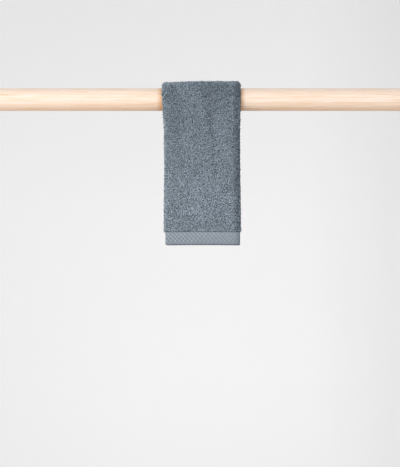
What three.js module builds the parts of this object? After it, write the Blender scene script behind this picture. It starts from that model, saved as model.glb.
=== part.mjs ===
// A terry hand towel, folded lengthwise in three and hung over a round wooden pole.
// Millimetres: +X runs along the pole, +Y to the back, +Z up.
// The origin is the centre of the pole's left end face.
import * as THREE from 'three';

// Pole: a plain round length of planed pine
const POLE_LENGTH = 750;
const POLE_DIAMETER = 40;
const POLE_CHAMFER = 1.5;
const POLE_SIDES = 72;

// Cloth: one woven piece with pile on both faces and a flat woven band at each end
const CLOTH_LENGTH = 600;
const PILE_THICKNESS = 3.6;
const BAND_THICKNESS = 2.4;
const HEM_TIP_THICKNESS = 1.4;
const BAND_HEIGHT = 22;
const BAND_STEP = 1.6;
const HEM_TIP = 1;
const FREE_EDGE_ROUNDNESS = 0.7;

// Folded stack: the outer layer turns tightly at the left into the middle layer,
// and in a wide turn at the right round the middle layer's free edge into the inner layer
const LAYER_GAP = 0.65;
const POLE_CLEARANCE = 0.3;
const MIDDLE_EDGE_TUCK = 3;
const LEFT_STACK_PRESS = 0.87;
const PRESSED_SHARE = 0.45;
const HEM_DROP_PER_LAYER = 0.9;

// Where the front hem ends, below the pole's axis
const FRONT_DROP = 257.8;

// Mesh density
const ACROSS_STEPS = 11;
const LEFT_TURN_STEPS = 6;
const RIGHT_TURN_STEPS = 8;
const OVER_POLE_STEPS = 18;
const DROP_STEP = 24;

// Outer edges of the folded towel at heights below the pole's axis;
// setback is how far the inner layer's free edge stays in from the left edge
const FRONT_EDGES = [
  { drop: 0, left: 308.0, right: 446.8, setback: 8.0 },
  { drop: 26, left: 309.7, right: 446.6, setback: 6.5 },
  { drop: 48, left: 311.3, right: 446.0, setback: 5.0 },
  { drop: 180, left: 311.8, right: 446.0, setback: 4.5 },
  { drop: 215, left: 311.2, right: 447.2, setback: 4.5 },
  { drop: 234, left: 311.4, right: 446.9, setback: 4.5 },
  { drop: 238, left: 314.0, right: 445.8, setback: 3.5 },
  { drop: 260, left: 314.0, right: 445.8, setback: 3.5 },
];
const BACK_EDGES = [
  { drop: 0, left: 308.0, right: 446.8, setback: 8.0 },
  { drop: 60, left: 310.6, right: 445.8, setback: 6.0 },
  { drop: 140, left: 311.2, right: 445.4, setback: 5.0 },
  { drop: 219, left: 310.8, right: 446.4, setback: 4.5 },
  { drop: 224, left: 313.2, right: 445.0, setback: 3.5 },
  { drop: 246, left: 313.2, right: 445.0, setback: 3.5 },
];

// Soft hollows (rise below 0) and swells of the hanging stack, as oval mounds
const FRONT_SWELLS = [
  { x: 393, drop: 34, halfWidth: 10, halfHeight: 42, rise: -1.5 },
  { x: 416, drop: 66, halfWidth: 12, halfHeight: 44, rise: 1.2 },
  { x: 354, drop: 14, halfWidth: 13, halfHeight: 40, rise: 0.8 },
  { x: 337, drop: 54, halfWidth: 10, halfHeight: 24, rise: -0.9 },
  { x: 366, drop: 158, halfWidth: 32, halfHeight: 34, rise: 1.1 },
  { x: 424, drop: 190, halfWidth: 16, halfHeight: 30, rise: 0.8 },
];
const BACK_SWELLS = [
  { x: 352, drop: 60, halfWidth: 14, halfHeight: 46, rise: -1.2 },
  { x: 398, drop: 92, halfWidth: 22, halfHeight: 50, rise: 1.2 },
  { x: 332, drop: 170, halfWidth: 18, halfHeight: 34, rise: 0.9 },
  { x: 428, drop: 150, halfWidth: 12, halfHeight: 40, rise: -0.8 },
];
// The whole stack follows a swell from this far below the pole's axis; nearer, only its outside does
const FREE_HANG_DROP = 34;

const POLE_RADIUS = POLE_DIAMETER / 2;
const LAYER_PITCH = PILE_THICKNESS + LAYER_GAP;
const INNER_LAYER = POLE_CLEARANCE + PILE_THICKNESS / 2;
const MIDDLE_LAYER = INNER_LAYER + LAYER_PITCH;
const OUTER_LAYER = MIDDLE_LAYER + LAYER_PITCH;
const STACK = OUTER_LAYER + PILE_THICKNESS / 2;
const OVER_POLE_LENGTH = Math.PI * (POLE_RADIUS + OUTER_LAYER);
const BACK_DROP = CLOTH_LENGTH - FRONT_DROP - OVER_POLE_LENGTH;

const terry = new THREE.MeshStandardMaterial({ color: '#778089', roughness: 0.95, metalness: 0 });
const pine = new THREE.MeshStandardMaterial({ color: '#ecd3b0', roughness: 0.55, metalness: 0 });

// Reads one column of a table of rows sorted by drop, easing from row to row.
function column(table, name, drop) {
  const next = table.findIndex((row) => row.drop >= drop);
  if (next === 0) return table[0][name];
  if (next < 0) return table[table.length - 1][name];
  const [above, below] = [table[next - 1], table[next]];
  const eased = THREE.MathUtils.smoothstep(drop, above.drop, below.drop);
  return THREE.MathUtils.lerp(above[name], below[name], eased);
}

// The stack's outward shift at a place: the sum of the oval mounds.
function swell(table, x, drop) {
  let rise = 0;
  for (const mound of table) {
    const across = (x - mound.x) / mound.halfWidth;
    const down = (drop - mound.drop) / mound.halfHeight;
    rise += mound.rise * Math.exp(-(across * across + down * down) / 2);
  }
  return rise;
}

// The cloth's middle line across the folded width, as points with the direction of travel: it starts at
// the middle layer's free edge, runs left, turns into the outer layer, runs right, turns into the inner
// layer and runs left to that layer's free edge.
function foldLine(station) {
  const half = station.thickness / 2;
  const leftTurn = LAYER_PITCH / 2;
  const rightTurn = LAYER_PITCH;
  const leftCentre = station.left + half + leftTurn;
  const rightCentre = station.right - half - rightTurn;
  const line = [];
  const layer = (from, to, n) => {
    const heading = Math.sign(to - from);
    for (let i = 0; i <= ACROSS_STEPS; i += 1) {
      const u = THREE.MathUtils.lerp(from, to, i / ACROSS_STEPS);
      line.push({ u, n, du: heading, dn: 0 });
    }
  };
  const turn = (centreU, centreN, radius, startAngle, steps) => {
    for (let i = 1; i < steps; i += 1) {
      const angle = startAngle - (Math.PI * i) / steps;
      const u = centreU + radius * Math.cos(angle);
      const n = centreN + radius * Math.sin(angle);
      line.push({ u, n, du: Math.sin(angle), dn: -Math.cos(angle) });
    }
  };
  layer(rightCentre - MIDDLE_EDGE_TUCK, leftCentre, MIDDLE_LAYER);
  turn(leftCentre, MIDDLE_LAYER + leftTurn, leftTurn, -Math.PI / 2, LEFT_TURN_STEPS);
  layer(leftCentre, rightCentre, OUTER_LAYER);
  turn(rightCentre, MIDDLE_LAYER, rightTurn, Math.PI / 2, RIGHT_TURN_STEPS);
  layer(rightCentre, station.left + station.setback + half, INNER_LAYER);
  return line;
}

// The closed outline round the fold line: one side of the cloth there, the other side back,
// with a point at the middle of each free edge to round it.
function foldOutline(station) {
  const half = station.thickness / 2;
  const line = foldLine(station);
  const side = (point, sign) => ({
    u: point.u - sign * half * point.dn,
    n: point.n + sign * half * point.du,
  });
  const tip = (point, sign) => ({
    u: point.u + sign * half * FREE_EDGE_ROUNDNESS * point.du,
    n: point.n,
  });
  const there = line.map((point) => side(point, 1));
  const back = line.map((point) => side(point, -1)).reverse();
  return [tip(line[0], -1), ...there, tip(line[line.length - 1], 1), ...back];
}

// Presses the stack thinner towards its left edge.
function pressed(n, u, station) {
  const share = (u - station.left) / (station.right - station.left);
  const press = THREE.MathUtils.lerp(
    LEFT_STACK_PRESS,
    1,
    THREE.MathUtils.smoothstep(share, 0, PRESSED_SHARE),
  );
  return POLE_CLEARANCE + (n - POLE_CLEARANCE) * press;
}

// Places one outline point in space. The station's normal points out of the stack.
function placed(point, station) {
  const rise = swell(station.swells, point.u, station.drop);
  const free = THREE.MathUtils.smoothstep(station.drop, 0, FREE_HANG_DROP);
  const follow = THREE.MathUtils.lerp(Math.min(point.n / STACK, 1), 1, free);
  const n = pressed(point.n, point.u, station) + rise * follow * station.swellShare;
  const radius = (POLE_RADIUS + n) * station.spread;
  const layersIn = Math.max(OUTER_LAYER - point.n, 0) / LAYER_PITCH;
  return new THREE.Vector3(
    point.u,
    radius * station.normal.y,
    radius * station.normal.z - station.drop - station.hemDrop * layersIn,
  );
}

// One station of a hanging drop. The side is -1 at the front and 1 at the back.
function hangingStation(side, drop, thickness, hemDrop) {
  const edges = side < 0 ? FRONT_EDGES : BACK_EDGES;
  return {
    drop,
    thickness,
    hemDrop,
    left: column(edges, 'left', drop),
    right: column(edges, 'right', drop),
    setback: column(edges, 'setback', drop),
    swells: side < 0 ? FRONT_SWELLS : BACK_SWELLS,
    swellShare: 1,
    spread: 1,
    normal: { y: side, z: 0 },
  };
}

// The stations of one drop, from its hem up to the pole's axis.
function hangingStations(side, hemAt) {
  const bandTop = hemAt - BAND_HEIGHT;
  const stations = [
    hangingStation(side, hemAt, HEM_TIP_THICKNESS, HEM_DROP_PER_LAYER),
    hangingStation(side, hemAt - HEM_TIP, BAND_THICKNESS, HEM_DROP_PER_LAYER),
    hangingStation(side, bandTop, BAND_THICKNESS, 0),
    hangingStation(side, bandTop - BAND_STEP, PILE_THICKNESS, 0),
  ];
  const pileLength = bandTop - BAND_STEP;
  const steps = Math.round(pileLength / DROP_STEP);
  for (let i = steps - 1; i > 0; i -= 1) {
    stations.push(hangingStation(side, (pileLength * i) / steps, PILE_THICKNESS, 0));
  }
  return stations;
}

// The stations round the top half of the pole, from the front to the back.
// Their radius is spread so that the flats between them keep the clearance.
function overPoleStations() {
  const step = Math.PI / OVER_POLE_STEPS;
  const stations = [];
  for (let i = 0; i <= OVER_POLE_STEPS; i += 1) {
    const angle = Math.PI - step * i;
    const side = i < OVER_POLE_STEPS / 2 ? -1 : 1;
    stations.push({
      ...hangingStation(side, 0, PILE_THICKNESS, 0),
      swellShare: Math.cos(angle) ** 2,
      spread: 1 / Math.cos(step / 2),
      normal: { y: Math.cos(angle), z: Math.sin(angle) },
    });
  }
  return stations;
}

// Joins rings of equal length into one closed skin with a flat-triangulated cap at each end.
function skin(rings, startOutline, endOutline) {
  const size = rings[0].length;
  const index = [];
  for (let r = 0; r + 1 < rings.length; r += 1) {
    for (let i = 0; i < size; i += 1) {
      const a = r * size + i;
      const b = r * size + ((i + 1) % size);
      index.push(a, b, a + size, b, b + size, a + size);
    }
  }
  const cap = (outline, first, flip) => {
    const flat = outline.map((point) => new THREE.Vector2(point.u, point.n));
    for (const [a, b, c] of THREE.ShapeUtils.triangulateShape(flat, [])) {
      if (flip) index.push(first + a, first + c, first + b);
      else index.push(first + a, first + b, first + c);
    }
  };
  cap(startOutline, 0, false);
  cap(endOutline, size * (rings.length - 1), true);
  const geometry = new THREE.BufferGeometry();
  geometry.setFromPoints(rings.flat());
  geometry.setIndex(index);
  geometry.computeVertexNormals();
  return geometry;
}

function makeTowel() {
  const stations = [
    ...hangingStations(-1, FRONT_DROP),
    ...overPoleStations(),
    ...hangingStations(1, BACK_DROP).reverse(),
  ];
  const outlines = stations.map(foldOutline);
  const rings = stations.map((station, i) => outlines[i].map((point) => placed(point, station)));
  const towel = new THREE.Mesh(skin(rings, outlines[0], outlines[outlines.length - 1]), terry);
  towel.name = 'towel';
  return towel;
}

function makePole() {
  const profile = [
    new THREE.Vector2(0, 0),
    new THREE.Vector2(POLE_RADIUS - POLE_CHAMFER, 0),
    new THREE.Vector2(POLE_RADIUS, POLE_CHAMFER),
    new THREE.Vector2(POLE_RADIUS, POLE_LENGTH - POLE_CHAMFER),
    new THREE.Vector2(POLE_RADIUS - POLE_CHAMFER, POLE_LENGTH),
    new THREE.Vector2(0, POLE_LENGTH),
  ];
  const pole = new THREE.Mesh(new THREE.LatheGeometry(profile, POLE_SIDES), pine);
  pole.name = 'rod';
  pole.rotation.z = -Math.PI / 2;
  return pole;
}

const object = new THREE.Group();
object.add(makePole(), makeTowel());

export default object;
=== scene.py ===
"""A small terry towel, folded lengthwise in three and hung over a round pine pole.

+X runs along the pole, the camera looks along +Y at the front drop, and +Z is up; the pole's axis is
Y = Z = 0. Sizes are in millimetres and become metres where a mesh, light or camera is placed.
"""

import math

import bpy
import numpy as np
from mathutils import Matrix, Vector


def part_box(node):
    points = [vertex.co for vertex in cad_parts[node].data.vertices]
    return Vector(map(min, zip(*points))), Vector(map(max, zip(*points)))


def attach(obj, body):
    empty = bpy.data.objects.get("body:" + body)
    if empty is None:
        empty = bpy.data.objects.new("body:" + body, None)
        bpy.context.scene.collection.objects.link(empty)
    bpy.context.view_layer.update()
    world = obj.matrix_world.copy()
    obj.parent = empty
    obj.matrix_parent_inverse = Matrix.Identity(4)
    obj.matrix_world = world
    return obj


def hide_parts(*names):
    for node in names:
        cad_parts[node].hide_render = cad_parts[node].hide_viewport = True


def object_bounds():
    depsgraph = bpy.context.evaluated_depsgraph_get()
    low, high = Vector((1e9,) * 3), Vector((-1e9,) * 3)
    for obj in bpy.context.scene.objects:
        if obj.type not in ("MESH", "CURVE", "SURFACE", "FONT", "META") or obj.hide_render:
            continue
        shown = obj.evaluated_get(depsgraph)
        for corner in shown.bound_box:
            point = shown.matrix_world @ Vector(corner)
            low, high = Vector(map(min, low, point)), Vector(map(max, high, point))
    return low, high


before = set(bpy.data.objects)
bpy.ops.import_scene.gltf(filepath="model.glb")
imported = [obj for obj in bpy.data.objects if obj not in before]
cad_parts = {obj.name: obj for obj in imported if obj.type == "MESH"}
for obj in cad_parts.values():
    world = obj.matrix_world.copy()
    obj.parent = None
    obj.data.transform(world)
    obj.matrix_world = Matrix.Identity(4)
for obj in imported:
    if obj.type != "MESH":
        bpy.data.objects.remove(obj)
cad_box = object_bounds()

MM = 0.001
pole_low, pole_high = (np.array(corner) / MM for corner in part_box("rod"))
towel_low, towel_high = (np.array(corner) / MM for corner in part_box("towel"))

# Pole
POLE_RADIUS = (pole_high[2] - pole_low[2]) / 2
POLE_END_EASE = 1.5

# Cloth as it was cut and woven
CUT_LENGTH = 600.0
PILE_THICKNESS = 3.6
BAND_THICKNESS = 2.4
BAND_HEIGHT = 22.0
BAND_STEP = 1.6
GROUND_HALF = 0.8

# The hem of the flat band: its round tip, never quite sharp, the sunk line of its seam, room for its ribs
HEM_TIP = 0.9
LEAST_TIP = 0.02
SEAM_PLACE = 2.6
SEAM_WIDTH = 0.55
SEAM_DEPTH = 0.4
RIB_ROOM = 0.05

# Folded stack, counted outwards from the pole
LAYER_PITCH = 4.25
INNER_LAYER = 2.1
MIDDLE_LAYER = INNER_LAYER + LAYER_PITCH
OUTER_LAYER = MIDDLE_LAYER + LAYER_PITCH
STACK = OUTER_LAYER + PILE_THICKNESS / 2
POLE_CLEARANCE = 0.3
MIDDLE_EDGE_TUCK = 3.0

# The stack is pressed to this share of its thickness at the left, easing to full over a share of the width
LEFT_STACK_PRESS = 0.83
PRESSED_SHARE = 0.45

# The left fold slumps towards the pole, less and less over this width
LEFT_FOLD_SLUMP = 2.2
LEFT_FOLD_WIDTH = 4.0

# At the hems each layer further in hangs lower, and the middle of the hem is bowed up
HEM_DROP_PER_LAYER = 0.65
HEM_BOW = 0.5
HEM_BOW_HEIGHT = 70.0

# Below this drop the inner layers swell as much as the outer one
FREE_HANG_DROP = 34.0

# The side edges wander a little, and the whole stack has small ripples
EDGE_WANDER = 0.35
LEFT_WANDER = {"length": 17, "seed": 1}
RIGHT_WANDER = {"length": 19, "seed": 2}
RIPPLES = [
    {"size": 15, "rise": 0.3, "seed": 3},
    {"size": 7, "rise": 0.16, "seed": 4},
]

# How the length is shared: front drop, way round the pole, back drop
FRONT_DROP = 257.8
OVER_POLE = math.pi * (POLE_RADIUS + OUTER_LAYER)
BACK_DROP = CUT_LENGTH - FRONT_DROP - OVER_POLE

# Outer edges of the folded towel at heights below the pole's axis;
# setback is how far the inner layer's free edge stays in from the left edge
FRONT_EDGES = [
    {"drop": 0, "left": 308.3, "right": 446.1, "setback": 8.0},
    {"drop": 26, "left": 310.1, "right": 445.9, "setback": 6.5},
    {"drop": 48, "left": 311.8, "right": 445.3, "setback": 5.0},
    {"drop": 125, "left": 312.3, "right": 445.4, "setback": 4.8},
    {"drop": 165, "left": 312.0, "right": 446.6, "setback": 4.5},
    {"drop": 215, "left": 311.2, "right": 447.2, "setback": 4.5},
    {"drop": 234, "left": 311.4, "right": 446.9, "setback": 4.5},
    {"drop": 238, "left": 314.0, "right": 445.8, "setback": 3.5},
    {"drop": 260, "left": 314.0, "right": 445.8, "setback": 3.5},
]
BACK_EDGES = [
    {"drop": 0, "left": 308.0, "right": 446.8, "setback": 8.0},
    {"drop": 60, "left": 310.6, "right": 445.8, "setback": 6.0},
    {"drop": 140, "left": 311.2, "right": 445.4, "setback": 5.0},
    {"drop": 219, "left": 310.8, "right": 446.4, "setback": 4.5},
    {"drop": 224, "left": 313.2, "right": 445.0, "setback": 3.5},
    {"drop": 246, "left": 313.2, "right": 445.0, "setback": 3.5},
]

# Soft hollows (rise below 0) and swells of the hanging stack, as oval mounds that may slant to the right;
# outside, their rise is also painted into the loops' tone as painted light and shade, and the hollow over
# the pole at drop -24 is almost only painted shade
FRONT_SWELLS = [
    {"x": 392, "drop": 30, "wide": 5.0, "high": 40, "rise": -2.2, "slant": 0.13},
    {"x": 381, "drop": 26, "wide": 6.0, "high": 36, "rise": 1.0, "slant": 0.10},
    {"x": 416, "drop": 66, "wide": 10, "high": 46, "rise": 1.9, "slant": 0.06},
    {"x": 354, "drop": 14, "wide": 11, "high": 40, "rise": 1.3, "slant": 0.0},
    {"x": 337, "drop": 54, "wide": 8, "high": 26, "rise": -1.4, "slant": 0.05},
    {"x": 366, "drop": 158, "wide": 32, "high": 34, "rise": 1.4, "slant": 0.0},
    {"x": 424, "drop": 190, "wide": 16, "high": 30, "rise": 1.0, "slant": 0.0},
    {"x": 377, "drop": 118, "wide": 90, "high": 4, "rise": -0.7, "slant": 0.0},
    {"x": 450, "drop": 120, "wide": 6.5, "high": 240, "rise": -4.5, "slant": 0.0},
    {"x": 412, "drop": -24, "wide": 30, "high": 12, "rise": -3.4, "slant": 0.0},
    {"x": 325, "drop": 75, "wide": 6, "high": 50, "rise": 1.0, "slant": 0.0},
    {"x": 446, "drop": 198, "wide": 5, "high": 26, "rise": -1.8, "slant": 0.0},
]
BACK_SWELLS = [
    {"x": 352, "drop": 60, "wide": 12, "high": 46, "rise": -1.2, "slant": 0.05},
    {"x": 398, "drop": 92, "wide": 22, "high": 50, "rise": 1.2, "slant": 0.0},
    {"x": 332, "drop": 170, "wide": 18, "high": 34, "rise": 0.9, "slant": 0.0},
    {"x": 428, "drop": 150, "wide": 10, "high": 40, "rise": -0.8, "slant": -0.05},
]

# Terry loops stand a little further apart than the real 1.5 mm, so that they show, and further still where
# the drops hide them. Each root is shifted by up to a share of the spacing, and round the wide right fold
# the roots are spread by the splay
LOOP_SPACING = 1.7
INNER_LOOP_SPACING = 2.6
ROOT_SHIFT = 0.35
RIGHT_FOLD_SPLAY = 1.2

# Stretches of the folded section that carry loops, as values of fold
OUTER_FACE = (2, 2.94)
LEFT_FOLD = (0.945, 2)
RIGHT_FOLD = (2.94, 4)
INNER_FACE = (4, 4.995)

# One loop: its width and height and how they vary, as shares, how it turns, in radians, how far it leans,
# droops and twists, and the tube of its yarn
LOOP_WIDTH = 1.8
LOOP_WIDTH_RANGE = (0.8, 1.2)
LOOP_BULGE = 0.4
LOOP_HEIGHT = 1.8
LOOP_HEIGHT_SPREAD = 0.2
LOOP_TURN = 1.0
LOOP_LEAN = 0.35
LOOP_DROOP = 0.3
LOOP_TWIST = 0.5
YARN_RADIUS = 0.56
LOOP_STEPS = 3
YARN_SIDES = 3

# Neighbouring loops rise, lean and darken together, and a few strays, taller by a share, fuzz the outline
CLUMP_SIZE = 2.3
CLUMP_RISE = 0.1
CLUMP_LEAN = 0.25
CLUMP_TONE = 0.03
CLUMP_SEEDS = (20, 21, 22, 23)
STRAY_SHARE = 0.08
STRAY_RISE = 0.6

# Short steps out of the cloth and along it, to find the directions that a loop is built on
STEP_OUT = 1.0
STEP_ALONG = 0.5

# Tone of the loops, 0 for the dark yarn colour and 1 for the light one: its middle, the darkest, commonest
# and lightest of single loops, soft patches, painted light paler towards the hem and darker towards the
# pole, paler in the last rows above the band, painted light on swells and painted shade in hollows for each
# millimetre of rise, and painted shade where the right fold turns away
LOOP_TONE = 0.57
LOOP_TONE_RANGE = (-0.63, 0.24, 0.39)
MOTTLES = [
    {"wide": 21, "long": 26, "depth": 0.07, "seed": 31},
    {"wide": 9, "long": 13, "depth": 0.03, "seed": 32},
]
# Painted light: the loops paler towards the hem and darker towards the pole
HEM_PAINTED_LIGHT = 0.22
HEM_ROWS = (25, 36)
HEM_ROWS_PALER = 0.08
SWELL_PAINTED_SHADE = 0.05
# Painted shade on the loops where the right fold turns away from the light, over this span of x
RIGHT_FOLD_PAINTED_SHADE = 0.2
RIGHT_FOLD_TURN = (430, 443)

# The band's slanting ribs: their pitch along x, the beads along them, their height and the beads' share of
# it, where they begin above the hem and end below the pile, and where along x they flatten by a share
RIB_PITCH = 7.3
RIB_BEAD = 3.8
RIB_RELIEF = 0.13
BEAD_RELIEF = 0.4
RIBS_BEGIN = (3.2, 4.6)
RIBS_END = 1.5
RIBS_FLATTEN = (350, 400)
RIBS_FLATTER = 0.5

# Tone of the band: its middle, the ribs, the beads, the beads on the ribs, the paler top, the painted shade
# at the hem tip
BAND_TONE = 0.49
RIB_TONE = 0.32
BEAD_TONE = 0.08
BEADED_RIB_TONE = 0.28
BAND_TOP = (12, 19)
BAND_TOP_PALER = 0.08
BAND_MOTTLE = {"size": 3, "depth": 0.06, "seed": 41}
TIP_PAINTED_SHADE = 0.42
TIP_RIB_TONE = 0.4
TIP_REACH = 1.6

# Cloth mesh: columns in the middle flap, left turn, outer layer, right turn and inner flap; rows at the hem
# tip and seam, in the band and in the pile; rough widths along the section
SECTION_COLUMNS = (22, 8, 84, 12, 45)
TIP_ROWS = [0, 0.08, 0.25, 0.5, 0.9, 1.5, 2.1, 2.6, 3.1, 3.6]
FIRST_BAND_ROW = 4.3
BAND_ROW_STEP = 0.9
PILE_ROWS = 186
FLAP_WIDTH = 122.0
FOLDED_WIDTH = 128.0

# Baking map of the cloth: the skin takes this share of its width, and beside it stand the two strips that
# close its ends, one above the other, with the four small tip faces above them
SKIN_SHARE_OF_MAP = 0.97
STRIP_SIDES = (0.98, 0.995)
STRIP_LENGTH = 0.45
UPPER_STRIP = 0.46
TIP_FACE_RADIUS = 0.006
TIP_FACE_X = 0.988
TIP_FACES_Y = (0.96, 0.975, 0.945, 0.93)

# Baking map of a loop, in a square cell of its own: the width and height of its side faces, their margin,
# the corners of one end, and how far above them the other end lies
LOOP_SIDES_WIDE = 0.8
LOOP_SIDES_HIGH = 0.9
LOOP_SIDES_MARGIN = 0.04
LOOP_END = [(0.86, 0.1), (0.96, 0.1), (0.91, 0.3)]
OTHER_END = 0.5

# Cotton: its fibres are really 0.02 mm thick and are drawn as specks of these sizes, so that they show
GROUND_SPECK = 1.25
BAND_SPECK = 2.5
BAND_SPECK_RELIEF = 0.3

# Pine: where the pith lay from the pole's axis, how wide a year's ring is, the length and width of its
# wander and of the fine streaks, which are drawn coarser than the real 0.3 mm so that they show
PITH_PLACE = (0.0, -52.0, -23.0)
YEAR_RING = 5.0
RING_WANDER = (625.0, 100.0)
STREAK = (50.0, 1.6)
STREAK_RELIEF = 0.08

# The browner underside, partly heartwood and partly painted shade, sets in and is full at these heights
# above the pith, give or take its wander
HEARTWOOD_AND_SHADE_EDGE = (24.0, 4.0)
HEARTWOOD_AND_SHADE_WANDER = 12.0

# Painted shade on the pole under and beside the towel, as browner wood: it sets in and is full this far
# outside its edges, shifted along x
TOWEL_SHADE_REACH = (9.0, -1.0)
TOWEL_SHADE_SHIFT = -1.0

# Pole and cove: steps round the axis. Pole: rings on an eased edge, rings along the body from this far in,
# and rings on a flat end as shares of the radius
ROUND_STEPS = 96
EASE_RINGS = 5
BODY_RINGS = 40
BODY_INSET = 4.0
END_RINGS = (0.3, 0.6, 0.9)

# Studio cove: the floor and its middle disc, the wall, the bend between them, and where along x its paint
# turns greyer, grey paint that keeps light off the right and is painted shade on the cove's right
FLOOR_LEVEL = -1400.0
FLOOR_MIDDLE = 600.0
COVE_RADIUS = 4600.0
COVE_BEND = 1300.0
BEND_RINGS = 12
COVE_TOP = 2600.0
GREYER_PAINT_AND_SHADE = (900.0, 3600.0)

# The photograph: its height, its scale and where the pole's axis crosses it
PHOTO_HIGH_PX = 467
MM_PER_PX = 1.778
POLE_AXIS_PX = 99.65
CAMERA_DISTANCE = 2600.0
SENSOR_LONG_SIDE = 36.0

# Random patches repeat after this many of them
LATTICE = 256

# A Mix node's sockets for colours go by number, because their names repeat
MIX_SHARE, MIX_FROM, MIX_TO, MIX_OUT = 0, 6, 7, 2


def srgb(hex_colour):
    """The linear RGBA of an sRGB hex colour."""
    parts = [int(hex_colour[i:i + 2], 16) / 255 for i in (1, 3, 5)]
    linear = [p / 12.92 if p <= 0.04045 else ((p + 0.055) / 1.055) ** 2.4 for p in parts]
    return (*linear, 1.0)


def eased(value, low, high):
    """0 below low, 1 above high and 3t^2 - 2t^3 between them."""
    t = np.clip((value - low) / (high - low), 0, 1)
    return t * t * (3 - 2 * t)


def column(table, name, drop):
    """One column of a table of rows sorted by drop, eased from row to row."""
    drops = np.array([row["drop"] for row in table], float)
    values = np.array([row[name] for row in table], float)
    drop = np.clip(drop, drops[0], drops[-1])
    row = np.clip(np.searchsorted(drops, drop) - 1, 0, len(drops) - 2)
    share = eased(drop, drops[row], drops[row + 1])
    return values[row] * (1 - share) + values[row + 1] * share


def swell(table, x, drop):
    """The sum of oval mounds, each rise * exp(-(across^2 + down^2) / 2)."""
    total = np.zeros(np.broadcast(x, drop).shape)
    for mound in table:
        middle = mound["x"] + mound["slant"] * (drop - mound["drop"])
        across = (x - middle) / mound["wide"]
        down = (drop - mound["drop"]) / mound["high"]
        total += mound["rise"] * np.exp(-(across ** 2 + down ** 2) / 2)
    return total


def patches(x, y, seed):
    """Smooth random patches one unit across, from -1 to 1: a random lattice eased between its corners."""
    lattice = np.random.default_rng(seed).uniform(-1, 1, (LATTICE + 1, LATTICE + 1))
    x, y = np.mod(x, LATTICE), np.mod(y, LATTICE)
    i, j = x.astype(int), y.astype(int)
    s, t = eased(x - i, 0, 1), eased(y - j, 0, 1)
    low = lattice[i, j] * (1 - s) + lattice[i + 1, j] * s
    high = lattice[i, j + 1] * (1 - s) + lattice[i + 1, j + 1] * s
    return low * (1 - t) + high * t


def unit(vectors):
    """Vectors scaled to length one."""
    return vectors / np.maximum(np.linalg.norm(vectors, axis=-1, keepdims=True), 1e-12)


def per_metre(size):
    """The texture scale at which a pattern's parts have this size in millimetres."""
    return 1 / (size * MM)


def hem_distance(along):
    """How far a place along the cloth is from the nearer hem."""
    return np.minimum(along, CUT_LENGTH - along)


def fold_section(fold, left, right, setback, half, lift):
    """The folded section's across (x) and outward (n) place.

    fold is 0 at the middle layer's free edge, 1 to 2 the tight left turn, 2 to 3 the outer layer, 3 to 4
    the wide right turn and 5 the inner layer's free edge. Straight runs are lerps and turns half circles;
    lift is added along the line's left normal, which faces out of the turns.
    """
    left_centre = left + half + LAYER_PITCH / 2
    right_centre = right - half - LAYER_PITCH
    part = np.clip(np.floor(fold), 0, 4).astype(int)
    t = fold - part
    left_angle = -np.pi / 2 - np.pi * t
    right_angle = np.pi / 2 - np.pi * t
    middle_edge = right_centre - MIDDLE_EDGE_TUCK
    inner_edge = left + setback + half
    x = np.choose(part, [
        middle_edge + (left_centre - middle_edge) * t,
        left_centre + LAYER_PITCH / 2 * np.cos(left_angle),
        left_centre + (right_centre - left_centre) * t,
        right_centre + LAYER_PITCH * np.cos(right_angle),
        right_centre + (inner_edge - right_centre) * t,
    ])
    n = np.choose(part, [
        np.full_like(t, MIDDLE_LAYER),
        MIDDLE_LAYER + LAYER_PITCH / 2 * (1 + np.sin(left_angle)),
        np.full_like(t, OUTER_LAYER),
        MIDDLE_LAYER + LAYER_PITCH * np.sin(right_angle),
        np.full_like(t, INNER_LAYER),
    ])
    ones, zeros = np.ones_like(t), np.zeros_like(t)
    heading_x = np.choose(part, [-ones, np.sin(left_angle), ones, np.sin(right_angle), -ones])
    heading_n = np.choose(part, [zeros, -np.cos(left_angle), zeros, -np.cos(right_angle), zeros])
    return x - lift * heading_n, n + lift * heading_x


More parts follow.
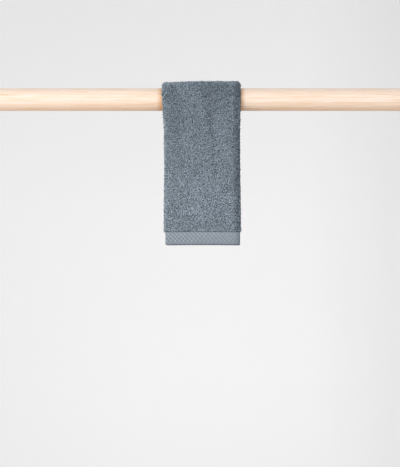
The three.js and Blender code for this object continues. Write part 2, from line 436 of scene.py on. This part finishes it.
def on_towel(fold, along, lift):
    """Where a point of the cloth lies, in millimetres.

    The folded section stands on a path that rises up the front drop, turns half round the pole and falls
    down the back drop. Its outward side is -Y, then radial, then +Y. The stack is pressed thinner at the
    left and slumps over the pole at its left fold, follows the soft swells, and at the hems its inner layers
    hang a little lower and its middle a little higher.
    """
    fold, along, lift = (a.astype(float) for a in np.broadcast_arrays(fold, along, lift))
    angle = np.pi * (1 - np.clip((along - FRONT_DROP) / OVER_POLE, 0, 1))
    front = angle > np.pi / 2
    drop = np.where(front, FRONT_DROP - along, along - FRONT_DROP - OVER_POLE)
    drop = np.maximum(drop, 0)
    hem = hem_distance(along)
    pile_share = eased(hem, BAND_HEIGHT, BAND_HEIGHT + BAND_STEP)
    half = (BAND_THICKNESS + (PILE_THICKNESS - BAND_THICKNESS) * pile_share) / 2
    left, right, setback = (
        np.where(front, column(FRONT_EDGES, name, drop), column(BACK_EDGES, name, drop))
        for name in ("left", "right", "setback")
    )
    wander = EDGE_WANDER * pile_share
    left = left + wander * patches(along / LEFT_WANDER["length"], along * 0, LEFT_WANDER["seed"])
    right = right + wander * patches(along / RIGHT_WANDER["length"], along * 0, RIGHT_WANDER["seed"])
    x, n = fold_section(fold, left, right, setback, half, lift)
    layers_in = np.maximum(OUTER_LAYER - n, 0) / LAYER_PITCH
    rise = np.where(front, swell(FRONT_SWELLS, x, drop), swell(BACK_SWELLS, x, drop))
    for ripple in RIPPLES:
        rise = rise + ripple["rise"] * patches(x / ripple["size"], along / ripple["size"], ripple["seed"])
    rise = rise * np.cos(angle) ** 2
    follow = np.clip(n / STACK, 0, 1)
    follow = follow + (1 - follow) * eased(drop, 0, FREE_HANG_DROP)
    share = (x - left) / (right - left)
    press = LEFT_STACK_PRESS + (1 - LEFT_STACK_PRESS) * eased(share, 0, PRESSED_SHARE)
    slump = LEFT_FOLD_SLUMP * np.exp(-(x - left) / LEFT_FOLD_WIDTH) * np.sin(angle) * follow
    n = POLE_CLEARANCE + (n - POLE_CLEARANCE) * press + rise * follow - slump
    radius = POLE_RADIUS + n
    sag = HEM_DROP_PER_LAYER * layers_in * (1 - eased(hem, 0, BAND_HEIGHT))
    sag = sag - HEM_BOW * 4 * share * (1 - share) * (1 - eased(hem, 0, HEM_BOW_HEIGHT))
    return np.stack([x, radius * np.cos(angle), radius * np.sin(angle) - drop - sag], -1)


def make_piece(name, points, faces, materials, slots=None, uv=None, tone=None):
    """A mesh object at the origin from points in millimetres and a list of face arrays of equal width each.

    slots gives each face's material, uv each corner's place on the baking map, tone each point's shade.
    """
    mesh = bpy.data.meshes.new(name)
    corners = np.concatenate([f.ravel() for f in faces]).astype(np.int32)
    counts = np.concatenate([np.full(len(f), f.shape[1]) for f in faces])
    mesh.vertices.add(len(points))
    mesh.vertices.foreach_set("co", (points * MM).astype(np.float32).ravel())
    mesh.loops.add(len(corners))
    mesh.loops.foreach_set("vertex_index", corners)
    mesh.polygons.add(len(counts))
    mesh.polygons.foreach_set("loop_start", (np.cumsum(counts) - counts).astype(np.int32))
    for material in materials:
        mesh.materials.append(material)
    if slots is not None:
        mesh.polygons.foreach_set("material_index", slots.astype(np.int32))
    mesh.polygons.foreach_set("use_smooth", np.ones(len(counts), bool))
    if uv is not None:
        layer = mesh.uv_layers.new(name="OFBake")
        layer.uv.foreach_set("vector", uv.astype(np.float32).ravel())
    if tone is not None:
        shade = mesh.attributes.new("tone", "FLOAT", "POINT")
        shade.data.foreach_set("value", tone.astype(np.float32).ravel())
    mesh.update(calc_edges=True)
    mesh.validate()
    piece = bpy.data.objects.new(name, mesh)
    bpy.context.scene.collection.objects.link(piece)
    return piece


def add_node(tree, kind, settings=None, inputs=None):
    """Adds a node, sets its properties, and gives inputs, by name or number, a value or a link."""
    made = tree.nodes.new(kind)
    for name, value in (settings or {}).items():
        setattr(made, name, value)
    for name, value in (inputs or {}).items():
        if isinstance(value, bpy.types.NodeSocket):
            tree.links.new(value, made.inputs[name])
        else:
            made.inputs[name].default_value = value
    return made


def new_material(name):
    """An empty material and its node tree."""
    material = bpy.data.materials.new(name)
    material.use_nodes = True
    material.node_tree.nodes.clear()
    return material, material.node_tree


def surface(tree, inputs):
    """Ends a material in one Principled shader with these inputs."""
    shader = add_node(tree, "ShaderNodeBsdfPrincipled", inputs=inputs)
    add_node(tree, "ShaderNodeOutputMaterial", inputs={"Surface": shader.outputs["BSDF"]})


# Looped cotton pile, reactive-dyed blue-grey: matte, soft at its edges, each loop a little lighter or darker
def terry_loops_material():
    material, tree = new_material("cotton_terry_loops")
    tone = add_node(tree, "ShaderNodeAttribute", {"attribute_name": "tone"})
    colour = add_node(tree, "ShaderNodeMix", {"data_type": "RGBA"}, {
        MIX_SHARE: tone.outputs["Fac"], MIX_FROM: srgb("#4a5b6a"), MIX_TO: srgb("#bed2e3"),
    })
    surface(tree, {
        "Base Color": colour.outputs[MIX_OUT], "Roughness": 0.9, "IOR": 1.53,
        "Sheen Weight": 0.15, "Sheen Roughness": 0.5,
    })
    return material


# The ground weave under the loops: the same yarn, seen only between them, coloured darker than the loops as
# painted shade between them
def ground_weave_material():
    material, tree = new_material("cotton_ground_weave")
    place = add_node(tree, "ShaderNodeTexCoord")
    fibres = add_node(tree, "ShaderNodeTexNoise", inputs={
        "Vector": place.outputs["Object"], "Scale": per_metre(GROUND_SPECK), "Detail": 2.0,
    })
    colour = add_node(tree, "ShaderNodeMix", {"data_type": "RGBA"}, {
        # Darker than the loop yarn: painted shade between the loops
        MIX_SHARE: fibres.outputs["Fac"], MIX_FROM: srgb("#3f4a54"), MIX_TO: srgb("#5c6873"),
    })
    surface(tree, {"Base Color": colour.outputs[MIX_OUT], "Roughness": 0.95, "IOR": 1.53})
    return material


# The flat twill band at the hem: the same yarn packed tight, so smoother and matte, with slanting ribs
def twill_band_material():
    material, tree = new_material("cotton_twill_band")
    place = add_node(tree, "ShaderNodeTexCoord")
    fibres = add_node(tree, "ShaderNodeTexNoise", inputs={
        "Vector": place.outputs["Object"], "Scale": per_metre(BAND_SPECK), "Detail": 3.0,
    })
    tone = add_node(tree, "ShaderNodeAttribute", {"attribute_name": "tone"})
    colour = add_node(tree, "ShaderNodeMix", {"data_type": "RGBA"}, {
        MIX_SHARE: tone.outputs["Fac"], MIX_FROM: srgb("#5a6570"), MIX_TO: srgb("#96a3b1"),
    })
    bump = add_node(tree, "ShaderNodeBump", inputs={
        "Height": fibres.outputs["Fac"], "Distance": BAND_SPECK_RELIEF * MM, "Strength": 0.5,
    })
    surface(tree, {
        "Base Color": colour.outputs[MIX_OUT], "Roughness": 0.8, "IOR": 1.53,
        "Normal": bump.outputs["Normal"], "Sheen Weight": 0.1, "Sheen Roughness": 0.5,
    })
    return material


# Planed and sanded pine, clear-finished: pale and satin, with soft latewood lines and fine streaks along the
# pole; browner on its underside, partly heartwood and partly painted shade, and painted shade under and
# beside the towel
def pine_material():
    material, tree = new_material("sanded_pine")
    towel_x = ((towel_low[0] + towel_high[0]) / 2 + TOWEL_SHADE_SHIFT) * MM
    towel_half = (towel_high[0] - towel_low[0]) / 2
    place = add_node(tree, "ShaderNodeTexCoord")
    pith = add_node(tree, "ShaderNodeMapping", inputs={
        "Vector": place.outputs["Object"], "Location": [-part * MM for part in PITH_PLACE],
    })
    wander_long, wander_wide = (per_metre(size) for size in RING_WANDER)
    drift = add_node(tree, "ShaderNodeMapping", inputs={
        "Vector": place.outputs["Object"], "Scale": (wander_long, wander_wide, wander_wide),
    })
    wander = add_node(tree, "ShaderNodeTexNoise", inputs={
        "Vector": drift.outputs["Vector"], "Scale": 1.0, "Detail": 2.0,
    })
    parts = add_node(tree, "ShaderNodeSeparateXYZ", inputs={"Vector": pith.outputs["Vector"]})
    square_y = add_node(tree, "ShaderNodeMath", {"operation": "MULTIPLY"}, {
        0: parts.outputs["Y"], 1: parts.outputs["Y"],
    })
    square = add_node(tree, "ShaderNodeMath", {"operation": "MULTIPLY_ADD"}, {
        0: parts.outputs["Z"], 1: parts.outputs["Z"], 2: square_y.outputs[0],
    })
    radius = add_node(tree, "ShaderNodeMath", {"operation": "SQRT"}, {0: square.outputs[0]})
    years = add_node(tree, "ShaderNodeMath", {"operation": "MULTIPLY_ADD"}, {
        0: radius.outputs[0], 1: per_metre(YEAR_RING), 2: wander.outputs["Fac"],
    })
    ring = add_node(tree, "ShaderNodeMath", {"operation": "FRACT"}, {0: years.outputs[0]})
    ramp = add_node(tree, "ShaderNodeValToRGB", inputs={0: ring.outputs[0]})
    stops = ramp.color_ramp.elements
    stops[0].position, stops[0].color = 0.0, srgb("#ecddd0")
    stops[1].position, stops[1].color = 1.0, srgb("#ecdcce")
    for position, colour in ((0.55, "#ebdbcd"), (0.86, "#e8d4c2"), (0.93, "#ead9c9")):
        stops.new(position).color = srgb(colour)
    streak_long, streak_wide = (per_metre(size) for size in STREAK)
    streak_place = add_node(tree, "ShaderNodeMapping", inputs={
        "Vector": place.outputs["Object"], "Scale": (streak_long, streak_wide, streak_wide),
    })
    streaks = add_node(tree, "ShaderNodeTexNoise", inputs={
        "Vector": streak_place.outputs["Vector"], "Scale": 1.0, "Detail": 2.0,
    })
    strength = add_node(tree, "ShaderNodeMapRange", inputs={
        "Value": streaks.outputs["Fac"], "From Min": 0.45, "From Max": 0.8,
    })
    streaked = add_node(tree, "ShaderNodeMix", {"data_type": "RGBA", "blend_type": "MULTIPLY"}, {
        MIX_SHARE: strength.outputs["Result"], MIX_FROM: ramp.outputs["Color"], MIX_TO: srgb("#efddc6"),
    })
    # A browner underside: partly heartwood, partly painted shade under the pole
    height = add_node(tree, "ShaderNodeMath", {"operation": "MULTIPLY_ADD"}, {
        0: wander.outputs["Fac"], 1: HEARTWOOD_AND_SHADE_WANDER * MM, 2: parts.outputs["Z"],
    })
    underside_high, underside_low = (edge * MM for edge in HEARTWOOD_AND_SHADE_EDGE)
    heartwood_and_shade = add_node(tree, "ShaderNodeMapRange", inputs={
        "Value": height.outputs[0], "From Min": underside_high, "From Max": underside_low,
    })
    lower = add_node(tree, "ShaderNodeMix", {"data_type": "RGBA", "blend_type": "MULTIPLY"}, {
        MIX_SHARE: heartwood_and_shade.outputs["Result"], MIX_FROM: streaked.outputs[MIX_OUT],
        MIX_TO: srgb("#edd7b8"),
    })
    # Painted shade on the wood under and beside the towel, browner where the towel's shadow falls
    along = add_node(tree, "ShaderNodeMath", {"operation": "SUBTRACT"}, {0: parts.outputs["X"], 1: towel_x})
    aside = add_node(tree, "ShaderNodeMath", {"operation": "ABSOLUTE"}, {0: along.outputs[0]})
    shade_far, shade_near = ((towel_half + reach) * MM for reach in TOWEL_SHADE_REACH)
    towel_shade = add_node(tree, "ShaderNodeMapRange", inputs={
        "Value": aside.outputs[0], "From Min": shade_far, "From Max": shade_near,
    })
    colour = add_node(tree, "ShaderNodeMix", {"data_type": "RGBA", "blend_type": "MULTIPLY"}, {
        MIX_SHARE: towel_shade.outputs["Result"], MIX_FROM: lower.outputs[MIX_OUT], MIX_TO: srgb("#e9c69c"),
    })
    bump = add_node(tree, "ShaderNodeBump", inputs={
        "Height": streaks.outputs["Fac"], "Distance": STREAK_RELIEF * MM, "Strength": 0.4,
    })
    surface(tree, {
        "Base Color": colour.outputs[MIX_OUT], "Roughness": 0.5, "IOR": 1.5,
        "Normal": bump.outputs["Normal"], "Coat Weight": 0.3, "Coat Roughness": 0.5,
    })
    return material


def ground_half(hem):
    """Half the woven cloth's thickness by distance from the hem.

    The tip is a quarter circle, the band and the ground under the loops are level with an eased step
    between them, and the seam is sunk by a bell curve.
    """
    tip = np.sqrt(np.clip(1 - (1 - hem / HEM_TIP) ** 2, LEAST_TIP, 1))
    tip = np.where(hem < HEM_TIP, tip, 1)
    seam = SEAM_DEPTH * np.exp(-((hem - SEAM_PLACE) / SEAM_WIDTH) ** 2)
    band = BAND_THICKNESS / 2 - RIB_ROOM
    share = eased(hem, BAND_HEIGHT, BAND_HEIGHT + BAND_STEP)
    return (band * (1 - share) + GROUND_HALF * share) * tip - seam


def face_strip(count):
    """Faces that close an end of the outline: quads between its sides, a five-cornered face at each tip.

    The outline holds count points of one side, 3 of a tip, count of the other side backwards, 3 of a tip.
    """
    near = np.arange(count - 1)
    far = 2 * count + 2 - near
    quads = np.stack([near, far, far - 1, near + 1], -1)
    tips = np.array([
        [count - 1, count + 3, count + 2, count + 1, count],
        [2 * count + 2, 0, 2 * count + 5, 2 * count + 4, 2 * count + 3],
    ])
    return quads, tips


def rib_pattern(points, hem):
    """The band's pattern: how strong it is, its slanting ribs, and the beads along them.

    Ribs are a cosine of x + z and beads a cosine of z. The pattern is eased in above the hem and out below
    the pile, and weaker by a share towards the right.
    """
    x, z = points[..., 0], points[..., 2]
    strength = eased(hem, *RIBS_BEGIN) * (1 - eased(hem, BAND_HEIGHT - RIBS_END, BAND_HEIGHT))
    strength = strength * (1 - RIBS_FLATTER * eased(x, *RIBS_FLATTEN))
    return strength, np.cos(2 * np.pi * (x + z) / RIB_PITCH), np.cos(2 * np.pi * z / RIB_BEAD)


def band_tone(points, hem, strength, ribs, beads):
    """Tone of the band: its pattern's ribs, beads and their product, small patches and painted shade at the
    hem tip.
    """
    woven = RIB_TONE * ribs + BEAD_TONE * beads + BEADED_RIB_TONE * ribs * beads
    tone = BAND_TONE + strength * woven + BAND_TOP_PALER * eased(hem, *BAND_TOP)
    spot = points / BAND_MOTTLE["size"]
    tone = tone + BAND_MOTTLE["depth"] * patches(spot[..., 0], spot[..., 2], BAND_MOTTLE["seed"])
    # Painted shade at the rounded hem tip, broken into dots by the ribs
    tone = tone - (TIP_PAINTED_SHADE - TIP_RIB_TONE * ribs) * np.exp(-(hem / TIP_REACH) ** 2)
    return np.clip(tone, 0, 1)


def cloth_map(rows, around, strips):
    """Baking map of the cloth: the skin as a grid, a strip of quads for each end, and four pentagons."""
    across = np.arange(around + 1) / around * SKIN_SHARE_OF_MAP
    at = np.stack(np.meshgrid(across, np.linspace(0, 1, rows)), -1)
    skin = np.stack([at[:-1, :-1], at[:-1, 1:], at[1:, 1:], at[1:, :-1]], 2)
    left, right = STRIP_SIDES
    u = np.array([left, right, right, left])
    v = (np.arange(strips)[:, None] + np.array([0, 0, 1, 1])) / strips * STRIP_LENGTH
    strip = np.stack([np.broadcast_to(u, v.shape), v], -1)
    corner = np.arange(5) / 5 * 2 * np.pi
    five = np.stack([np.cos(corner), np.sin(corner)], -1) * TIP_FACE_RADIUS
    fives = np.stack([five + (TIP_FACE_X, y) for y in TIP_FACES_Y])
    return np.concatenate([part.reshape(-1, 2) for part in (skin, strip, strip + (0, UPPER_STRIP), fives)])


def make_cloth(materials):
    """The towel's woven cloth as one closed skin.

    A closed outline, out along one face of the folded section, round its free edge and back along the
    other face, is carried along the length. The ribs lift both faces, more where a bead is.
    """
    last_part = len(SECTION_COLUMNS) - 1
    face = np.concatenate([
        np.linspace(part, part + 1, columns, endpoint=part == last_part)
        for part, columns in enumerate(SECTION_COLUMNS)
    ])
    turn = np.radians([45.0, 0.0, -45.0])
    reach = np.cos(turn) / FLAP_WIDTH
    fold = np.concatenate([face, 5 + reach, face[::-1], -reach])
    side = np.concatenate([np.ones(len(face)), np.sin(turn), -np.ones(len(face)), -np.sin(turn)])
    hem_rows = np.concatenate([
        TIP_ROWS,
        np.arange(FIRST_BAND_ROW, BAND_HEIGHT, BAND_ROW_STEP),
        [BAND_HEIGHT, BAND_HEIGHT + BAND_STEP / 2, BAND_HEIGHT + BAND_STEP],
    ])
    pile_rows = np.linspace(hem_rows[-1], CUT_LENGTH - hem_rows[-1], PILE_ROWS)[1:-1]
    along = np.concatenate([hem_rows, pile_rows, CUT_LENGTH - hem_rows[::-1]])
    fold, along = np.meshgrid(fold, along)
    hem = hem_distance(along)
    lift = side * ground_half(hem)
    flat = on_towel(fold, along, lift)
    strength, ribs, beads = rib_pattern(flat, hem)
    points = on_towel(fold, along, lift + side * strength * RIB_RELIEF * ribs * (1 + BEAD_RELIEF * beads))
    tone = band_tone(flat, hem, strength, ribs, beads)

    rows, around = fold.shape
    index = np.arange(rows * around).reshape(rows, around)
    after = np.roll(index, -1, axis=1)
    skin = np.stack([index[:-1], after[:-1], after[1:], index[1:]], -1).reshape(-1, 4)
    strip, tips = face_strip(len(face))
    last = index[-1, 0]
    quads = np.concatenate([skin, strip, strip[:, ::-1] + last])
    fives = np.concatenate([tips, tips[:, ::-1] + last])
    in_band = hem.ravel() < BAND_HEIGHT + BAND_STEP / 2
    slots = np.concatenate([in_band[quads[:, 0]] & in_band[quads[:, 2]], in_band[fives[:, 0]]])
    uv = cloth_map(rows, around, len(strip))
    return make_piece("towel_cloth", points.reshape(-1, 3), [quads, fives], materials, slots, uv, tone)


def outer_ways():
    """How far round the section, in millimetres of its outer face, each whole value of fold lies."""
    left_turn = np.pi * (LAYER_PITCH / 2 + PILE_THICKNESS / 2)
    right_turn = np.pi * (LAYER_PITCH + PILE_THICKNESS / 2)
    return np.cumsum([0, FLAP_WIDTH, left_turn, FOLDED_WIDTH, right_turn, FLAP_WIDTH])


def loop_faces(count):
    """Faces of this many loops: quads between the rings of each tube, then a triangle over each end."""
    first = np.arange(count)[:, None, None] * (LOOP_STEPS + 1) * YARN_SIDES
    step = np.arange(LOOP_STEPS)[:, None] * YARN_SIDES
    ring = np.arange(YARN_SIDES)
    after = (ring + 1) % YARN_SIDES
    quads = np.stack([
        first + step + ring, first + step + after,
        first + step + YARN_SIDES + after, first + step + YARN_SIDES + ring,
    ], -1).reshape(-1, 4)
    first = first[:, 0]
    ends = np.concatenate([first + ring[::-1], first + LOOP_STEPS * YARN_SIDES + ring])
    return [quads, ends]


def loop_map(count):
    """Baking map of those faces: each loop has its cell of a square grid, with its side faces unrolled."""
    cells = math.ceil(math.sqrt(count))
    cell = np.stack([np.arange(count) % cells, np.arange(count) // cells], -1)
    ring = np.arange(YARN_SIDES)
    side_u = np.stack([ring, ring + 1, ring + 1, ring], -1) / YARN_SIDES * LOOP_SIDES_WIDE
    step_v = (np.arange(LOOP_STEPS)[:, None] + np.array([0, 0, 1, 1])) / LOOP_STEPS * LOOP_SIDES_HIGH
    inside = np.stack(np.broadcast_arrays(side_u[None], step_v[:, None]), -1)
    sides = (cell[:, None, None, None] + inside + LOOP_SIDES_MARGIN) / cells
    one_end = cell[:, None] + np.array(LOOP_END)
    ends = np.concatenate([one_end, one_end + (0, OTHER_END)]) / cells
    return np.concatenate([sides.reshape(-1, 2), ends.reshape(-1, 2)])


def loop_tones(way, along, fold, clump_tone, outside, draw):
    """Tone of each loop: the middle tone, its clump's and its own, the soft patches, painted light paler
    towards the hem and darker towards the pole, and paler last rows.

    Outside, it also takes painted light on swells and painted shade in hollows, and painted shade where the
    right fold turns away.
    """
    tone = LOOP_TONE + CLUMP_TONE * clump_tone + draw.triangular(*LOOP_TONE_RANGE, len(way))
    for spot in MOTTLES:
        tone = tone + spot["depth"] * patches(way / spot["wide"], along / spot["long"], spot["seed"])
    hem = hem_distance(along)
    # Painted light: paler towards the hem, darker towards the pole
    tone = tone + HEM_PAINTED_LIGHT * (0.5 - hem / FRONT_DROP) + HEM_ROWS_PALER * (1 - eased(hem, *HEM_ROWS))
    # Outside: painted light on swells, painted shade in hollows, and painted shade where the right fold
    # turns away
    if outside:
        in_front = along < CUT_LENGTH / 2
        drop = np.where(in_front, FRONT_DROP - along, along - CUT_LENGTH + BACK_DROP)
        x = on_towel(fold, along, 0)[:, 0]
        rise = np.where(in_front, swell(FRONT_SWELLS, x, drop), swell(BACK_SWELLS, x, drop))
        tone = tone + SWELL_PAINTED_SHADE * rise - RIGHT_FOLD_PAINTED_SHADE * eased(x, *RIGHT_FOLD_TURN)
    return np.clip(tone, 0, 1)


def make_pile(name, folds, alongs, spacing, material, seed, splay=1):
    """Terry loops over a stretch of the cloth, as one joined mesh.

    Roots stand on a staggered grid with random shifts, splay times further apart across the cloth than
    along it. A loop's middle line is root - heading * width / 2 * cos t * (1 + bulge * sin t)
    + up * height * sin t + lean * sin^2 t + across * twist * sin 2t, with t from 0 to pi, and the yarn is a
    three-sided tube round it. Neighbours lean together in clumps, all droop a little, and a few strays
    stand taller.
    """
    draw = np.random.default_rng(seed)
    ways = outer_ways()
    whole_folds = np.arange(len(ways))
    way_low, way_high = np.interp(folds, whole_folds, ways)
    way, along = np.meshgrid(
        np.arange(way_low, way_high, spacing * splay) + spacing / 2,
        np.arange(alongs[0], alongs[1], spacing) + spacing / 2,
    )
    way[1::2] += spacing / 2
    way = (way + draw.uniform(-ROOT_SHIFT, ROOT_SHIFT, way.shape) * spacing).ravel()
    along = (along + draw.uniform(-ROOT_SHIFT, ROOT_SHIFT, along.shape) * spacing).ravel()
    way, along = np.clip(way, way_low, way_high), np.clip(along, *alongs)
    fold = np.interp(way, ways, whole_folds)
    count = len(fold)

    ground = GROUND_HALF - YARN_RADIUS
    root = on_towel(fold, along, ground)
    up = unit(on_towel(fold, along, ground + STEP_OUT) - root)
    warp = unit(on_towel(fold, along + STEP_ALONG, ground) - root)
    weft = unit(np.cross(up, warp))
    swing = draw.normal(0, LOOP_TURN, count)[:, None]
    heading = warp * np.cos(swing) + weft * np.sin(swing)
    across = np.cross(up, heading)
    clump_x, clump_y, clump_h, clump_tone = (
        patches(way / CLUMP_SIZE, along / CLUMP_SIZE, clump_seed)[:, None] for clump_seed in CLUMP_SEEDS
    )
    stray = draw.random((count, 1)) < STRAY_SHARE
    spread = LOOP_HEIGHT_SPREAD * draw.normal(0, 1, (count, 1))
    height = LOOP_HEIGHT * (1 + CLUMP_RISE * clump_h + spread + STRAY_RISE * stray)
    lean = weft * (CLUMP_LEAN * clump_x + LOOP_LEAN * draw.normal(0, 1, (count, 1)))
    lean = lean + warp * (CLUMP_LEAN * clump_y + LOOP_LEAN * draw.normal(0, 1, (count, 1)))
    lean[:, 2] -= LOOP_DROOP
    twist = LOOP_TWIST * draw.normal(0, 1, (count, 1))
    width = LOOP_WIDTH * draw.uniform(*LOOP_WIDTH_RANGE, (count, 1))

    t = np.linspace(0, np.pi, LOOP_STEPS + 1)[:, None, None]
    arch = -np.cos(t) * (1 + LOOP_BULGE * np.sin(t)) * width / 2
    line = (
        root + heading * arch + up * height * np.sin(t) + lean * np.sin(t) ** 2
        + across * twist * np.sin(2 * t)
    )
    tangent = unit(np.gradient(line, axis=0))
    beside = unit(np.cross(tangent, across))
    binormal = np.cross(tangent, beside)
    turn = (np.arange(YARN_SIDES) / YARN_SIDES * 2 * np.pi)[:, None, None, None]
    points = line + YARN_RADIUS * (np.cos(turn) * beside + np.sin(turn) * binormal)
    points = points.transpose(2, 1, 0, 3).reshape(-1, 3)

    tone = loop_tones(way, along, fold, clump_tone[:, 0], folds != INNER_FACE, draw)
    tone = np.repeat(tone, (LOOP_STEPS + 1) * YARN_SIDES)
    return make_piece(name, points, loop_faces(count), [material], uv=loop_map(count), tone=tone)


def revolve(profile, steps):
    """A closed skin turned round X: each profile point (x, radius) becomes a ring, and the two ends a fan.

    The faces point away from the axis where x rises along the profile.
    """
    turn = np.arange(steps) / steps * 2 * np.pi
    x, radius = np.array(profile, float).T[:, :, None]
    rings = np.stack(np.broadcast_arrays(x, radius * np.cos(turn), radius * np.sin(turn)), -1)
    points = np.concatenate([rings.reshape(-1, 3), [[x[0, 0], 0, 0], [x[-1, 0], 0, 0]]])
    index = np.arange(len(profile) * steps).reshape(-1, steps)
    after = np.roll(index, -1, axis=1)
    quads = np.stack([index[:-1], after[:-1], after[1:], index[1:]], -1).reshape(-1, 4)
    middle = len(profile) * steps
    near = np.stack([np.full(steps, middle), after[0], index[0]], -1)
    far = np.stack([np.full(steps, middle + 1), index[-1], after[-1]], -1)
    return points, quads, np.concatenate([near, far])


def make_pole(material):
    """The pole: a round bar with eased end edges, each a quarter circle."""
    low, high = pole_low[0], pole_high[0]
    turn = np.linspace(0, np.pi / 2, EASE_RINGS)
    ease_x = POLE_END_EASE * (1 - np.cos(turn))
    ease_r = POLE_RADIUS - POLE_END_EASE * (1 - np.sin(turn))
    body = np.linspace(low + BODY_INSET, high - BODY_INSET, BODY_RINGS)
    flat = [(low, POLE_RADIUS * share) for share in END_RINGS]
    profile = [
        *flat, *zip(low + ease_x, ease_r), *((x, POLE_RADIUS) for x in body),
        *zip(high - ease_x[::-1], ease_r[::-1]), *((high, r) for _, r in flat[::-1]),
    ]
    points, quads, ends = revolve(profile, ROUND_STEPS)
    return make_piece("pole", points, [quads, ends], [material])


def make_stage():
    """A round studio cove, open above and centred on the object: a floor, a quarter circle and a wall."""
    centre_x = (cad_box[0][0] + cad_box[1][0]) / 2 / MM
    curve = np.linspace(0, np.pi / 2, BEND_RINGS)
    profile = [
        (FLOOR_LEVEL, FLOOR_MIDDLE), (FLOOR_LEVEL, COVE_RADIUS - COVE_BEND),
        *zip(FLOOR_LEVEL + COVE_BEND * (1 - np.cos(curve)), COVE_RADIUS - COVE_BEND * (1 - np.sin(curve))),
        (COVE_TOP, COVE_RADIUS),
    ]
    points, quads, ends = revolve(profile, ROUND_STEPS)
    points = points[:, [1, 2, 0]] + (centre_x, 0, 0)
    material, tree = new_material("painted_cove")
    place = add_node(tree, "ShaderNodeTexCoord")
    parts = add_node(tree, "ShaderNodeSeparateXYZ", inputs={"Vector": place.outputs["Object"]})
    grey_from, grey_to = (x * MM for x in GREYER_PAINT_AND_SHADE)
    # Greyer paint to the right: painted shade on the cove, which also keeps light off the right
    to_right = add_node(tree, "ShaderNodeMapRange", inputs={
        "Value": parts.outputs["X"], "From Min": grey_from, "From Max": grey_to,
    })
    paint = add_node(tree, "ShaderNodeMix", {"data_type": "RGBA"}, {
        MIX_SHARE: to_right.outputs["Result"], MIX_FROM: srgb("#f0f0f0"), MIX_TO: srgb("#a2a3a6"),
    })
    surface(tree, {
        "Base Color": paint.outputs[MIX_OUT], "Roughness": 0.9,
        "Emission Color": srgb("#f4f3f3"), "Emission Strength": 0.19,
    })
    cove = make_piece("studio_cove", points, [quads[:, ::-1], ends[:ROUND_STEPS, ::-1]], [material])


def area_light(name, place, aim, size, watts, colour="#ffffff", spread=180):
    """A soft rectangular light, its sizes in metres, facing the aim; its spread is in degrees."""
    data = bpy.data.lights.new(name, "AREA")
    data.shape = "RECTANGLE"
    data.size, data.size_y = size
    data.energy = watts
    data.color = srgb(colour)[:3]
    data.spread = math.radians(spread)
    light = bpy.data.objects.new(name, data)
    bpy.context.scene.collection.objects.link(light)
    way = Vector(aim) - Vector(place)
    light.location = place
    light.rotation_euler = way.to_track_quat("-Z", "Y").to_euler()
    light.visible_camera = False


def make_camera():
    """A level camera whose frame is the photograph's: its scale, and the height of the pole's axis in it."""
    data = bpy.data.cameras.new("camera")
    data.sensor_width = SENSOR_LONG_SIDE
    data.lens = SENSOR_LONG_SIDE * CAMERA_DISTANCE / (PHOTO_HIGH_PX * MM_PER_PX)
    camera = bpy.data.objects.new("camera", data)
    bpy.context.scene.collection.objects.link(camera)
    middle_x = (pole_low[0] + pole_high[0]) / 2
    below = (PHOTO_HIGH_PX / 2 - POLE_AXIS_PX) * MM_PER_PX
    camera.location = (middle_x * MM, -CAMERA_DISTANCE * MM, -below * MM)
    camera.rotation_euler = (math.pi / 2, 0, 0)
    bpy.context.scene.camera = camera


make_camera()
make_stage()

loops = terry_loops_material()
cloth = make_cloth([ground_weave_material(), twill_band_material()])
front_end = BAND_HEIGHT + BAND_STEP
over_low, over_high = FRONT_DROP, FRONT_DROP + OVER_POLE
back_end = CUT_LENGTH - front_end
pile = [
    make_pile("pile_front", OUTER_FACE, (front_end, over_low), LOOP_SPACING, loops, seed=101),
    make_pile("pile_over_pole", OUTER_FACE, (over_low, over_high), LOOP_SPACING, loops, seed=102),
    make_pile("pile_back", OUTER_FACE, (over_high, back_end), LOOP_SPACING, loops, seed=103),
    make_pile("pile_left_fold", LEFT_FOLD, (front_end, back_end), LOOP_SPACING, loops, seed=104),
    make_pile(
        "pile_right_fold", RIGHT_FOLD, (front_end, back_end), LOOP_SPACING, loops, seed=105,
        splay=RIGHT_FOLD_SPLAY,
    ),
    make_pile("pile_inside_front", INNER_FACE, (front_end, over_low), INNER_LOOP_SPACING, loops, seed=106),
    make_pile("pile_inside_back", INNER_FACE, (over_high, back_end), INNER_LOOP_SPACING, loops, seed=107),
]
for piece in [cloth, *pile]:
    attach(piece, "root")
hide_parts("towel")

pole = make_pole(pine_material())
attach(pole, "root")
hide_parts("rod")

world = bpy.data.worlds.new("studio")
world.use_nodes = True
world.node_tree.nodes["Background"].inputs["Color"].default_value = srgb("#f6f9ff")
world.node_tree.nodes["Background"].inputs["Strength"].default_value = 0.6
bpy.context.scene.world = world
towel_middle = ((towel_low + towel_high) / 2 * MM).tolist()
area_light(
    "key", place=(-0.5, -2.4, 0.75), aim=towel_middle, size=(3.0, 1.8), watts=22.5, colour="#fff5e9",
    spread=100,
)
area_light(
    "warm_bounce", place=(-0.9, -0.8, -1.15), aim=towel_middle, size=(1.0, 1.0), watts=4.5,
    colour="#ffc69a",
)
area_light(
    "backdrop", place=(0.375, 1.5, -1.1), aim=(0.375, 4.6, -1.0), size=(1.2, 0.6), watts=1.8, spread=75,
)

scene = bpy.context.scene
scene.view_settings.view_transform = "Standard"
